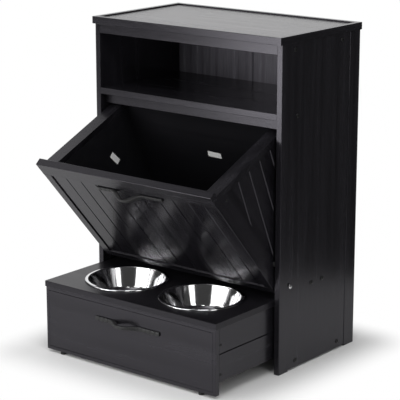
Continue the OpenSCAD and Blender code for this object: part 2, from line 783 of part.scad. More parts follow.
module drawer_side(side) {
    color(board_color) in_station() on_side(side) difference() {
        board_deep([drawer_side_x - drawer_side_t, drawer_front_back_y, drawer_side_low],
            [drawer_side_x, drawer_back_y, drawer_under_z]);
        translate([drawer_side_x, drawer_back_y + 1, side_groove_z]) rotate([90, 0, 0])
            rotate([0, 0, 90]) v_groove(drawer_d + 2);
        for (s = drawer_screws) translate([drawer_side_x + 1, s.x, s.y]) rotate([0, -90, 0])
            cylinder(r = screw_r + bolt_clearance, h = drawer_side_t, $fn = 32);
    }
}

module drawer_back() {
    x = drawer_side_x - drawer_side_t;
    color(board_color) in_station()
        board_across([-x, drawer_back_y - drawer_side_t, drawer_side_low],
            [x, drawer_back_y, drawer_under_z]);
}

module drawer_glides() {
    color(metal_color) in_station() for (side = [-1, 1])
        translate([side * glide_x, drawer_front_y + drawer_front_t / 2, 0]) rotate_extrude($fn = 48)
            polygon([[0, 0], [glide_r - 1, 0], [glide_r, 1], [glide_r, drawer_front_low],
                [0, drawer_front_low]]);
}

module drawer_side_screws() {
    color(metal_color) in_station() for (side = [-1, 1]) on_side(side)
        for (s = drawer_screws) translate([drawer_side_x, s.x, s.y])
            headed_bolt(screw_r, drawer_side_t - 2, screw_head_r, screw_head_h);
}

// ---- Bowls ----

// Radius and height of a point on a bowl's corner, at a distance outside its inner face
function bowl_corner(angle, out) = [bowl_foot_r + (bowl_corner_r + out) * cos(angle),
    bowl_corner_z + (bowl_corner_r + out) * sin(angle)];

module bowl(side) {
    angles = [for (i = [0 : bowl_corner_steps]) -90 + (bowl_wall_angle + 90) * i / bowl_corner_steps];
    outer = [for (angle = angles) bowl_corner(angle, bowl_t)];
    inner = [for (i = [bowl_corner_steps : -1 : 0]) bowl_corner(angles[i], 0)];
    rim = [[bowl_mouth_r + bowl_t, bowl_rim_h - bowl_t - 1], [bowl_r - 2 * bowl_t, bowl_rim_h - bowl_t - 1],
        [bowl_r - bowl_t, 0], [bowl_r, 0], [bowl_r, bowl_rim_h - bowl_t], [bowl_r - bowl_t, bowl_rim_h],
        [bowl_mouth_r + bowl_t, bowl_rim_h], [bowl_mouth_r, bowl_rim_h - bowl_t]];
    color(steel_color) in_station() translate([side * bowl_x, bowl_y, bowl_seat_z])
        rotate_extrude($fn = 128)
            polygon(concat([[0, bowl_t - bowl_depth], [0, -bowl_depth]], outer, rim, inner));
}

top_board();
top_edging_across(-top_over_front);  // top_edging_front
top_edging_across(cabinet_d + top_over_back - lip_w);  // top_edging_back
top_edging_side(-1);  // top_edging_left
top_edging_side(1);  // top_edging_right
front_apron();
side_panel(-1);  // side_panel_left
side_panel(1);  // side_panel_right
back_stile(-1);  // back_stile_left
back_stile(1);  // back_stile_right
top_cleat(-1);  // top_cleat_left
top_cleat(1);  // top_cleat_right
shelf();
shelf_stop_rail();
back_panel(shelf_z, under_top_z);  // back_panel_upper
back_panel(foot_h, shelf_z);  // back_panel_lower
bin_rest_board();
drawer_runner(-1);  // drawer_runner_left
drawer_runner(1);  // drawer_runner_right
cabinet_bolt_set(-1);  // cabinet_bolts_left
cabinet_bolt_set(1);  // cabinet_bolts_right
pivot_pin(-1);  // pivot_pin_left
pivot_pin(1);  // pivot_pin_right
pivot_plate(-1);  // pivot_plate_left
pivot_plate(1);  // pivot_plate_right
plate_bolt(-1);  // plate_bolt_left
plate_bolt(1);  // plate_bolt_right
bin_front_rail(bin_front_h - bin_top_rail_h, bin_front_h);  // bin_top_rail
bin_front_rail(0, bin_bottom_rail_h);  // bin_bottom_rail
bin_stile(-1);  // bin_stile_left
bin_stile(1);  // bin_stile_right
bin_front_board();
bin_post(-1);  // bin_post_left
bin_post(1);  // bin_post_right
bin_side_board(-1);  // bin_side_board_left
bin_side_board(1);  // bin_side_board_right
bin_rim(-1);  // bin_rim_left
bin_rim(1);  // bin_rim_right
bin_lining(-1);  // bin_lining_left
bin_lining(1);  // bin_lining_right
bin_batten(-1);  // bin_batten_left
bin_batten(1);  // bin_batten_right
bin_back();
bin_floor();
bin_buffers();
bin_side_screws();
bin_handle();
bin_handle_screws();
drawer_top();
drawer_front();
drawer_side(-1);  // drawer_side_left
drawer_side(1);  // drawer_side_right
drawer_back();
drawer_glides();
drawer_side_screws();
drawer_handle();
drawer_handle_screws();
bowl(-1);  // bowl_left
bowl(1);  // bowl_right
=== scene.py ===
"""A pet feeding station: a cabinet with a shelf, a tilting food bin and a drawer with two bowls.

All lengths are in metres, in the station's own frame: X to the right, Y to the back and Z up.
The boards keep their solids and get a laminate. Bowls, handles, screw heads, glides and
buffers are modelled here, because they need rounder shapes, and so are two paper stickers.
"""

from __future__ import annotations

import json
import logging
import math
from collections.abc import Callable, Iterable, Iterator, Sequence
from contextlib import contextmanager
from dataclasses import dataclass
from enum import Enum

import bpy
from mathutils import Matrix, Vector


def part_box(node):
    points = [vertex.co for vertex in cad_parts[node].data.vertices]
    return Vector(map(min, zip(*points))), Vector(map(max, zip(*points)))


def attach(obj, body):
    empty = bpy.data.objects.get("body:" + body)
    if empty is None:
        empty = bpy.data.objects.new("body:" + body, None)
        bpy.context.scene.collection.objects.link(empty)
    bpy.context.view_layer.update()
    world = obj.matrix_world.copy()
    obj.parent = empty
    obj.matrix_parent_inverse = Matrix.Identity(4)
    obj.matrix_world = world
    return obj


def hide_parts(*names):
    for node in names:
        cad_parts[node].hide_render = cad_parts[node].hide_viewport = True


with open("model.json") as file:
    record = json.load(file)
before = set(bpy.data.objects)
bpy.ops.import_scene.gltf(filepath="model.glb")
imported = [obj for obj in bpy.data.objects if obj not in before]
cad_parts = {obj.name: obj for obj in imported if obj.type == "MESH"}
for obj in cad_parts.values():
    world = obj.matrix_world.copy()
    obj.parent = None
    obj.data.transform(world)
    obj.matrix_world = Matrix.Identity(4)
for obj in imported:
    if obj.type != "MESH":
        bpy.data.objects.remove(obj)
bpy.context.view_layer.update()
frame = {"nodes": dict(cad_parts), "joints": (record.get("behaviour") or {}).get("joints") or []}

LOG = logging.getLogger("feeding_station")

Piece = bpy.types.Object
Material = bpy.types.Material
Node = bpy.types.Node
Socket = bpy.types.NodeSocket
Pair = tuple[float, float]
Triple = tuple[float, float, float]
Colour = tuple[float, float, float]
Ring = tuple[float, float]
Box = tuple[Vector, Vector]

ORIGIN = (0.0, 0.0, 0.0)
EVEN = (1.0, 1.0, 1.0)
WHITE = (1.0, 1.0, 1.0, 1.0)
FACING = 0.98  # a face looks along a direction where the cosine between them is above this
HEAD_FLATNESS = 0.0002  # a point this close to the outermost one is on a head's outer face
HEAD_SPACING = 0.02  # the heads of two screws are further apart than this


class Grain(Enum):
    """The way the printed grain of a board runs, as its stretch along X, Y and Z."""

    ACROSS = (30.0, 1.0, 1.0)
    DEEP = (1.0, 30.0, 1.0)
    UPRIGHT = (1.0, 1.0, 30.0)


class Drive(Enum):
    """The recess in a screw head."""

    HEX = "hex"
    CROSS = "cross"


class Part(Enum):
    """What is selected in edit mode."""

    CORNER = "VERT"
    EDGE = "EDGE"
    FACE = "FACE"


class Slope(Enum):
    """The way that a value goes up between two edges."""

    STRAIGHT = "LINEAR"
    SOFT = "SMOOTHSTEP"


class Slot(Enum):
    """A material slot of the record."""

    BLACK_METAL = "black_hardware"
    BLACK_PLASTIC = "black_plastic"
    BRIGHT_STEEL = "bright_steel"
    BOWL_STEEL = "bowl_steel"


class Side(Enum):
    """A side of the station, as its direction along X."""

    LEFT = -1
    RIGHT = 1

    def node(self, stem: str) -> str:
        """Returns the name of this side's node."""
        return f"{stem}_{self.name.lower()}"

    def seat(self, crown: Vector, height: float) -> Matrix:
        """Finds the place of a head whose crown looks out of this side.

        Args:
            crown: The middle of the crown.
            height: The height of the head.

        Returns:
            The frame in which the head stands on Z = 0.
        """
        out = Vector((self.value, 0, 0))
        turn = out.to_track_quat("Z", "Y").to_matrix().to_4x4()
        return Matrix.Translation(crown - out * height) @ turn


def both(*stems: str) -> list[str]:
    """Returns the names of the left and the right node of each stem."""
    return [side.node(stem) for stem in stems for side in Side]


def corners(points: Sequence[Vector]) -> Box:
    """Returns the lowest and the highest corner of the box round some points."""
    columns = list(zip(*points))
    return Vector([min(column) for column in columns]), Vector([max(column) for column in columns])


# ---------------------------------------------------------------- workbench


class Bench:
    """The hand tools that every sub-assembly is made with."""

    @staticmethod
    def deselect() -> None:
        """Leaves nothing selected."""
        bpy.ops.object.select_all(action="DESELECT")

    @staticmethod
    def hold(*pieces: Piece) -> None:
        """Selects some pieces and nothing else, and makes the first one active.

        Args:
            pieces: The pieces, at least one.
        """
        Bench.deselect()
        for piece in pieces:
            piece.select_set(True)
        bpy.context.view_layer.objects.active = pieces[0]

    @staticmethod
    def settle() -> None:
        """Puts the place, turn and scale of what is selected into its mesh."""
        bpy.ops.object.transform_apply(location=True, rotation=True, scale=True)

    @staticmethod
    def start(
        name: str, add: Callable[..., set[str]], stretch: Sequence[float] = EVEN, **settings: object
    ) -> Piece:
        """Adds a primitive, with its place and size in its mesh.

        Args:
            name: The piece's name.
            add: The operator that adds it.
            stretch: Its scale along X, Y and Z.
            settings: The operator's own values.

        Returns:
            The new piece, alone selected.
        """
        Bench.deselect()
        add(**settings)
        piece = bpy.context.object
        piece.name = name
        piece.scale = stretch
        Bench.settle()
        return piece

    @staticmethod
    @contextmanager
    def editing(piece: Piece, part: Part = Part.FACE) -> Iterator[None]:
        """Opens one piece in edit mode.

        Args:
            piece: The piece to edit.
            part: What is selected.
        """
        Bench.hold(piece)
        bpy.ops.object.mode_set(mode="EDIT")
        bpy.ops.mesh.select_mode(type=part.value)
        yield
        bpy.ops.object.mode_set(mode="OBJECT")

    @staticmethod
    def grow(move: Vector, scale: Vector, centre: Vector) -> None:
        """Extrudes the selection, moves it and scales it about a centre.

        Args:
            move: How far the new faces or edges go.
            scale: Their scale along X, Y and Z.
            centre: The fixed point of the scale.
        """
        bpy.ops.mesh.extrude_region_move(TRANSFORM_OT_translate={"value": move})
        bpy.ops.transform.resize(value=scale, center_override=centre)

    @staticmethod
    def lathe(name: str, rings: Sequence[Ring], segments: int, closed: bool) -> Piece:
        """Turns a round piece about Z from a disc, ring by ring.

        Args:
            name: The piece's name.
            rings: The radius and height of each ring, the first one being the disc.
            segments: The number of faces round the piece.
            closed: True to fill the last ring with a face.

        Returns:
            The new piece, with its axis on Z.
        """
        radius, height = rings[0]
        piece = Bench.start(
            name,
            bpy.ops.mesh.primitive_circle_add,
            vertices=segments,
            radius=radius,
            fill_type="TRIFAN",
            location=(0, 0, height),
        )
        with Bench.editing(piece, Part.EDGE):
            bpy.ops.mesh.select_all(action="SELECT")
            bpy.ops.mesh.region_to_loop()
            for next_radius, next_height in rings[1:]:
                ratio = next_radius / radius
                Bench.grow(
                    Vector((0, 0, next_height - height)),
                    Vector((ratio, ratio, 1)),
                    Vector((0, 0, next_height)),
                )
                radius, height = next_radius, next_height
            if closed:
                bpy.ops.mesh.edge_face_add()
            bpy.ops.mesh.select_all(action="SELECT")
            bpy.ops.mesh.normals_make_consistent(inside=False)
        return piece

    @staticmethod
    def finish(piece: Piece, kind: str, **settings: object) -> None:
        """Adds a modifier to a piece and applies it.

        Args:
            piece: The piece to change.
            kind: The modifier's type.
            settings: The modifier's own values.
        """
        Bench.hold(piece)
        modifier = piece.modifiers.new(kind.title(), kind)
        for key, value in settings.items():
            setattr(modifier, key, value)
        bpy.ops.object.modifier_apply(modifier=modifier.name)

    @staticmethod
    def cut(piece: Piece, tools: Iterable[Piece]) -> None:
        """Cuts the shapes of some tools out of a piece and takes the tools away.

        Args:
            piece: The piece that is cut.
            tools: Closed shapes, each used once.
        """
        for tool in tools:
            Bench.finish(piece, "BOOLEAN", operation="DIFFERENCE", solver="EXACT", object=tool)
            Bench.scrap(tool)

    @staticmethod
    def place(piece: Piece, matrix: Matrix) -> None:
        """Moves a piece's mesh, and leaves its object at the origin.

        Args:
            piece: The piece to move.
            matrix: Where its own frame goes.
        """
        Bench.hold(piece)
        piece.matrix_world = matrix @ piece.matrix_world
        Bench.settle()

    @staticmethod
    def copy(piece: Piece, name: str, matrix: Matrix) -> Piece:
        """Copies a piece with a mesh of its own.

        Args:
            piece: The piece to copy.
            name: The copy's name.
            matrix: Where the piece's own frame goes.

        Returns:
            The copy, in its place.
        """
        twin = piece.copy()
        twin.data = piece.data.copy()
        twin.name = name
        bpy.context.scene.collection.objects.link(twin)
        Bench.place(twin, matrix)
        return twin

    @staticmethod
    def join(pieces: Sequence[Piece], name: str) -> Piece:
        """Joins some pieces to one object.

        Args:
            pieces: The pieces to join, at least one.
            name: The joined piece's name.

        Returns:
            The joined piece.
        """
        Bench.hold(*pieces)
        if len(pieces) > 1:
            bpy.ops.object.join()
        pieces[0].name = name
        return pieces[0]

    @staticmethod
    def smooth(piece: Piece, angle: float = math.radians(35)) -> None:
        """Shades a piece smooth, but for edges sharper than an angle."""
        Bench.hold(piece)
        bpy.ops.object.shade_smooth_by_angle(angle=angle)

    @staticmethod
    def scrap(piece: Piece) -> None:
        """Takes away a piece that only served to make others."""
        bpy.data.objects.remove(piece)


def dress(finish: Material, *nodes: str) -> None:
    """Gives the solids of some nodes a finish and reports them.

    Args:
        finish: The finish.
        nodes: The nodes' names.
    """
    for node in nodes:
        solid = frame["nodes"][node]
        if not solid.material_slots:
            solid.data.materials.append(finish)
        for slot in solid.material_slots:
            slot.material = finish
        LOG.info("%s keeps its solid, in %s", node, finish.name)


def mount(piece: Piece, finish: Material, body: str, slot: Slot, *nodes: str) -> None:
    """Dresses a new piece, seats it in the frame and reports it.

    Args:
        piece: The piece.
        finish: Its finish.
        body: The body that it moves with.
        slot: The record's material slot that it shows; it is not used.
        nodes: The nodes that it stands for.
    """
    piece.data.materials.clear()
    piece.data.materials.append(finish)
    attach(piece, body)
    if nodes:
        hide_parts(*nodes)
    LOG.info("%s rides on %s, %d faces", piece.name, body, len(piece.data.polygons))


# ---------------------------------------------------------------- finishes


class NodeBoard:
    """The shader nodes of a material or of the world."""

    def __init__(self, owner: Material | bpy.types.World) -> None:
        """Clears the nodes.

        Args:
            owner: The material or the world.
        """
        owner.use_nodes = True
        self.tree = owner.node_tree
        self.tree.nodes.clear()

    def feed(self, target: Socket, source: object) -> None:
        """Gives an input a value, or links it to an output.

        Args:
            target: The input.
            source: The value or the output.
        """
        if isinstance(source, Socket):
            self.tree.links.new(source, target)
        else:
            target.default_value = source

    def add(self, kind: str, *sources: object, **named: object) -> Node:
        """Adds a node.

        Args:
            kind: The node's type, without its ShaderNode prefix.
            sources: What its inputs get, in their order: values, or the outputs that feed them.
            named: Its settings, or its inputs by name, with spaces written as underscores.

        Returns:
            The new node.
        """
        node = self.tree.nodes.new("ShaderNode" + kind)
        for key, value in named.items():
            if hasattr(node, key):
                setattr(node, key, value)
            else:
                self.feed(node.inputs[key.replace("_", " ")], value)
        for target, source in zip(node.inputs, sources):
            self.feed(target, source)
        return node

    def reckon(self, operation: str, *sources: object) -> Socket:
        """Returns the result of an operation on some values or outputs."""
        return self.add("Math", *sources, operation=operation).outputs["Value"]

    def mix(self, *sources: Socket) -> Socket:
        """Returns the mix, by a share, of a first and a second shader."""
        return self.add("MixShader", *sources).outputs["Shader"]

    def ramp(
        self, pattern: Socket, edges: Pair, ends: Pair = (0.0, 1.0), slope: Slope = Slope.SOFT
    ) -> Socket:
        """Goes from one value to another while a pattern goes from edge to edge.

        Args:
            pattern: The pattern.
            edges: The pattern's values at which the ramp starts and ends.
            ends: What the ramp starts and ends with.
            slope: The way that it goes from one to the other.

        Returns:
            The value.
        """
        node = self.add("MapRange", pattern, *edges, *ends, interpolation_type=slope.value)
        return node.outputs["Result"]

    def seen_by(self, *kinds: str) -> Socket:
        """Tells some kinds of rays from the others.

        Args:
            kinds: The outputs of Light Path that count.

        Returns:
            An output that is 1 for those rays and 0 for the others.
        """
        path = self.add("LightPath")
        seen = path.outputs[kinds[0]]
        for kind in kinds[1:]:
            seen = self.reckon("MAXIMUM", seen, path.outputs[kind])
        return seen


class Recipe(NodeBoard):
    """The nodes of one material, with a Principled shader at the end."""

    COLOUR_EDGES: Pair = (0.32, 0.72)
    GLOSS_EDGES: Pair = (0.25, 0.75)

    def __init__(self, name: str) -> None:
        """Starts a material.

        Args:
            name: The material's name.
        """
        self.material = bpy.data.materials.new(name)
        super().__init__(self.material)
        self.shader = self.add("BsdfPrincipled")
        self.output = self.add("OutputMaterial", self.shader.outputs["BSDF"])

    def set(self, **sources: object) -> None:
        """Feeds the shader's own sockets, with spaces written as underscores."""
        for key, source in sources.items():
            self.feed(self.shader.inputs[key.replace("_", " ")], source)

    def place(self, stretch: Triple = EVEN, turn: float = 0.0, centre: Triple = ORIGIN) -> Socket:
        """Adds object coordinates that are centred, turned and stretched.

        Args:
            stretch: How far the pattern is drawn out along X, Y and Z.
            turn: The turn of the pattern about X.
            centre: The origin of the pattern.

        Returns:
            The coordinates.
        """
        mapping = self.add(
            "Mapping",
            vector_type="TEXTURE",
            Vector=self.add("TexCoord").outputs["Object"],
            Location=centre,
            Rotation=(turn, 0, 0),
            Scale=stretch,
        )
        return mapping.outputs["Vector"]

    def noise(self, place: Socket, scale: float, detail: float, waver: float = 0.0) -> Socket:
        """Adds a noise pattern.

        Args:
            place: The coordinates that it follows.
            scale: The number of its waves in a metre.
            detail: The number of its finer layers.
            waver: How far it is distorted.

        Returns:
            The pattern.
        """
        noise = self.add(
            "TexNoise", Vector=place, Scale=scale, Detail=detail, Roughness=0.55, Distortion=waver
        )
        return noise.outputs["Fac"]

    def blend(self, pattern: Socket, low: Colour, high: Colour) -> None:
        """Runs the base colour from one colour to another.

        Args:
            pattern: The pattern.
            low: The colour where the pattern is low.
            high: The colour where it is high.
        """
        colours = self.add("ValToRGB", pattern)
        stops = colours.color_ramp.elements
        for stop, edge, colour in zip(stops, self.COLOUR_EDGES, (low, high)):
            stop.position = edge
            stop.color = (*colour, 1)
        self.set(Base_Color=colours.outputs["Color"])

    def vary_roughness(self, pattern: Socket, middle: float, spread: float) -> None:
        """Varies the roughness.

        Args:
            pattern: The pattern.
            middle: The roughness in the middle.
            spread: How far it goes to each side.
        """
        ends = (middle - spread, middle + spread)
        self.set(Roughness=self.ramp(pattern, self.GLOSS_EDGES, ends, Slope.STRAIGHT))

    def emboss(self, pattern: Socket, strength: float, depth: float) -> None:
        """Presses a pattern into the surface.

        Args:
            pattern: The pattern.
            strength: The strength of the relief.
            depth: The depth of the relief.
        """
        bump = self.add("Bump", Height=pattern, Strength=strength, Distance=depth)
        self.set(Normal=bump.outputs["Normal"])


@dataclass(frozen=True)
class Laminate:
    """Black laminated board with a printed and embossed wood grain.

    Args:
        name: The material's name.
        grain: The way that the grain runs.
        turn: The tilt of the board about X, in radians.
        dark: The colour between the streaks.
        light: The colour of the streaks.
        roughness: The roughness of the surface.
        level: The strength of its gloss.
        tint: The colour of its gloss.
        streaks: The number of streaks in a metre.
        waver: How far the streaks waver.
        pores: The number of pores in a metre.
        pore_share: The share that the pores have in the print.
        spread: How far the roughness goes to each side.
        relief: The strength of the embossed pores.
        depth: The depth of the embossed pores.
    """

    name: str
    grain: Grain
    turn: float = 0.0
    dark: Colour = (0.003, 0.0028, 0.0035)
    light: Colour = (0.013, 0.0124, 0.015)
    roughness: float = 0.25
    level: float = 0.5
    tint: Colour = (0.93, 0.89, 1.0)
    streaks: float = 42.0
    waver: float = 0.35
    pores: float = 640.0
    pore_share: float = 0.35
    spread: float = 0.05
    relief: float = 0.7
    depth: float = 0.00012

    def make(self) -> Material:
        """Makes the laminate.

        Returns:
            The material.
        """
        recipe = Recipe(self.name)
        place = recipe.place(self.grain.value, self.turn)
        streaks = recipe.noise(place, self.streaks, detail=6.0, waver=self.waver)
        pores = recipe.noise(place, self.pores, detail=2.0)
        faded = recipe.reckon("MULTIPLY", streaks, 1 - self.pore_share)
        grain = recipe.reckon("MULTIPLY_ADD", pores, self.pore_share, faded)
        recipe.blend(grain, self.dark, self.light)
        recipe.vary_roughness(grain, self.roughness, self.spread)
        recipe.emboss(pores, self.relief, self.depth)
        recipe.set(Specular_IOR_Level=self.level, Specular_Tint=(*self.tint, 1))
        return recipe.material


@dataclass(frozen=True)
class Speckled:
    """A surface whose fine specks show in its colour, gloss and relief, as on metal or rubber.

    Args:
        name: The material's name.
        colour: The colour where the specks are high.
        roughness: The roughness in the middle.
        metallic: 1 for bare metal and 0 for anything else.
        shade: The colour where the specks are low, as a share of the other one.
        specks: The number of specks in a metre.
        detail: The number of their finer layers.
        stretch: How far they are drawn out along X, Y and Z.
        centre: The origin of the pattern.
        spread: How far the roughness goes to each side.
        relief: The strength of the relief.
        depth: The depth of the relief.
    """

    name: str
    colour: Colour
    roughness: float
    metallic: float = 0.0
    shade: float = 0.75
    specks: float = 900.0
    detail: float = 2.0
    stretch: Triple = EVEN
    centre: Triple = ORIGIN
    spread: float = 0.06
    relief: float = 0.15
    depth: float = 0.00008

    def raised(self, recipe: Recipe, place: Socket, specks: Socket) -> Socket:
        """Returns the pattern of the relief, which is the specks."""
        return specks

    def make(self) -> Material:
        """Makes the surface.

        Returns:
            The material.
        """
        recipe = Recipe(self.name)
        place = recipe.place(self.stretch, centre=self.centre)
        specks = recipe.noise(place, self.specks, self.detail)
        low = tuple(self.shade * part for part in self.colour)
        recipe.blend(specks, low, self.colour)
        recipe.vary_roughness(specks, self.roughness, self.spread)
        recipe.emboss(self.raised(recipe, place, specks), self.relief, self.depth)
        recipe.set(Metallic=self.metallic)
        return recipe.material


@dataclass(frozen=True)
class Paper(Speckled):
    """Blank paper, whose specks are its fibres."""

    colour: Colour = (0.88, 0.88, 0.87)
    roughness: float = 0.6
    shade: float = 0.9
    specks: float = 700.0
    detail: float = 4.0
    stretch: Triple = (1.0, 1.0, 3.0)
    spread: float = 0.05
    relief: float = 0.2
    depth: float = 0.00004


@dataclass(frozen=True)
class SpunSteel(Speckled):
    """Polished stainless steel with clouds in its polish and faint rings from spinning.

    Args:
        rings: The number of rings in a metre.
        waver: How far the rings waver.
    """

    colour: Colour = (0.76, 0.76, 0.77)
    roughness: float = 0.1
    metallic: float = 1.0
    shade: float = 0.93
    specks: float = 18.0
    detail: float = 3.0
    spread: float = 0.035
    relief: float = 0.05
    depth: float = 0.00004
    rings: float = 180.0
    waver: float = 0.6

    def raised(self, recipe: Recipe, place: Socket, specks: Socket) -> Socket:
        """Makes the pattern of the relief.

        Args:
            recipe: The material's nodes.
            place: The coordinates, centred on the axis of the rings.
            specks: The clouds, which the relief leaves out.

        Returns:
            The rings.
        """
        rings = recipe.add(
            "TexWave",
            wave_type="RINGS",
            rings_direction="Z",
            Vector=place,
            Scale=self.rings,
            Distortion=self.waver,
        )
        return rings.outputs["Fac"]


class FinishShelf:
    """Every finish of the boards and fittings, each made once."""

    def __init__(self, tilt: float) -> None:
        """Makes the finishes.

        Args:
            tilt: The tilt of the open bin, in radians.
        """
        self.across = Laminate("laminate_across", Grain.ACROSS).make()
        self.deep = Laminate("laminate_deep", Grain.DEEP).make()
        self.upright = Laminate("laminate_upright", Grain.UPRIGHT).make()
        self.top = Laminate(
            "laminate_top", Grain.ACROSS, dark=(0.03, 0.029, 0.031), light=(0.06, 0.057, 0.061)
        ).make()
        # painted light: the back panels get a paler copy of the black laminate, which stands in for
        # the light falling on the compartment's back wall
        self.back = Laminate(
            "laminate_back", Grain.UPRIGHT, dark=(0.03, 0.028, 0.035), light=(0.12, 0.115, 0.13)
        ).make()
        self.drawer_top = Laminate(
            "laminate_drawer_top", Grain.ACROSS, roughness=0.34, level=0.35
        ).make()
        self.bin_across = Laminate("laminate_bin_across", Grain.ACROSS, tilt).make()
        self.bin_upright = Laminate(
            "laminate_bin_upright", Grain.UPRIGHT, tilt, roughness=0.18
        ).make()
        self.bin_deep = Laminate("laminate_bin_deep", Grain.DEEP, tilt).make()
        self.lining = Laminate(
            "laminate_lining",
            Grain.ACROSS,
            tilt,
            dark=(0.004, 0.004, 0.005),
            light=(0.007, 0.007, 0.008),
            roughness=0.4,
        ).make()
        self.black_metal = Speckled("black_metal", (0.009, 0.009, 0.0095), 0.42).make()
        self.bright_steel = Speckled("bright_steel", (0.78, 0.78, 0.79), 0.22, 1.0).make()
        self.rubber = Speckled("rubber", (0.012, 0.012, 0.012), 0.62).make()
        self.paper = Paper("sticker_paper").make()


# ---------------------------------------------------------------- small pieces


@dataclass
class ScrewHead:
    """A round head with a recess, turned about Z, standing on Z = 0.

    Args:
        radius: The radius of the head.
        height: The height of the head.
        drive: The shape of its recess.
        flank: The height of its straight side, as a share of its height.
        steps: The number of rings in its dome.
        floor: The height of the recess's floor, as a share of its height.
        socket: The radius of a hexagonal recess, as a share of its radius.
        arm: The length and width of the arms of a cross, as shares of its radius.
        segments: The number of faces round it.
    """

    radius: float
    height: float
    drive: Drive
    flank: float = 0.45
    steps: int = 6
    floor: float = 0.35
    socket: float = 0.48
    arm: Pair = (1.1, 0.24)
    segments: int = 40

    @classmethod
    def out_of(cls, wall: str, node: str, radius: float, drive: Drive) -> ScrewHead:
        """Measures how far a head stands out of a wall.

        Args:
            wall: The node of the wall, on the right.
            node: The node of the screws, on the right or on both sides.
            radius: The radius of the head.
            drive: The shape of its recess.

        Returns:
            The head.
        """
        return cls(radius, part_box(node)[1].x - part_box(wall)[1].x, drive)

    def rings(self) -> list[Ring]:
        """Works out a low dome on a straight side.

        Returns:
            The rings, from the crown to the seat.
        """
        dome = []
        for step in range(1, self.steps + 1):
            angle = math.pi / 2 * step / self.steps
            rise = self.flank + (1 - self.flank) * math.cos(angle)
            dome.append((self.radius * math.sin(angle), self.height * rise))
        return [*dome, (self.radius, 0.0)]

    def tools(self) -> list[Piece]:
        """Makes the closed shapes that cut the recess.

        Returns:
            A hexagonal bar, or the two arms of a cross.
        """
        middle = (0, 0, self.floor * self.height + self.height / 2)
        if self.drive is Drive.HEX:
            bar = Bench.start(
                "socket_tool",
                bpy.ops.mesh.primitive_cylinder_add,
                vertices=6,
                radius=self.socket * self.radius,
                depth=self.height,
                location=middle,
            )
            return [bar]
        arms = []
        for x_share, y_share in (self.arm, self.arm[::-1]):
            stretch = (x_share * self.radius, y_share * self.radius, self.height)
            arms.append(
                Bench.start(
                    "arm_tool", bpy.ops.mesh.primitive_cube_add, stretch, size=1, location=middle
                )
            )
        return arms

    def make(self) -> Piece:
        """Makes the head.

        Returns:
            The head, to be copied.
        """
        head = Bench.lathe("head_pattern", self.rings(), self.segments, closed=True)
        Bench.cut(head, self.tools())
        Bench.smooth(head)
        return head

    @staticmethod
    def places(node: str, side: Side) -> list[Vector]:
        """Finds where the heads of a node's screws are.

        Args:
            node: The node of the screws.
            side: The side that they are on.

        Returns:
            The middle of each head's outer face, in the order of the mesh.
        """
        points = [vertex.co.copy() for vertex in frame["nodes"][node].data.vertices]
        furthest = max(point.x * side.value for point in points)
        groups: list[list[Vector]] = []
        for point in points:
            if point.x * side.value < furthest - HEAD_FLATNESS:
                continue
            for group in groups:
                if (group[0] - point).length < HEAD_SPACING:
                    group.append(point)
                    break
            else:
                groups.append([point])
        boxes = [corners(group) for group in groups]
        return [(low + high) / 2 for low, high in boxes]


@dataclass
class Glide:
    """A round foot with soft edges and a narrower neck on it.

    Args:
        radius: The radius of the foot.
        low: The height of its underside.
        high: The height of the neck's upper end.
        foot: The height of the foot.
        edge: The size of its edges.
        neck: The radius of the neck, as a share of the foot's.
        segments: The number of faces round it.
    """

    radius: float
    low: float
    high: float
    foot: float = 0.0054
    edge: float = 0.0012
    neck: float = 0.72
    segments: int = 48

    def make(self) -> Piece:
        """Makes the glide.

        Returns:
            The glide about Z, to be copied.
        """
        top = self.low + self.foot
        third = self.edge / 3
        rings = [
            (self.radius / 2, self.low),
            (self.radius - self.edge, self.low),
            (self.radius - third, self.low + third),
            (self.radius, self.low + self.edge),
            (self.radius, top - self.edge),
            (self.radius - 2 * third, top - third),
            (self.radius * self.neck, top),
            (self.radius * self.neck, self.high),
        ]
        glide = Bench.lathe("glide_pattern", rings, self.segments, closed=True)
        Bench.smooth(glide)
        return glide


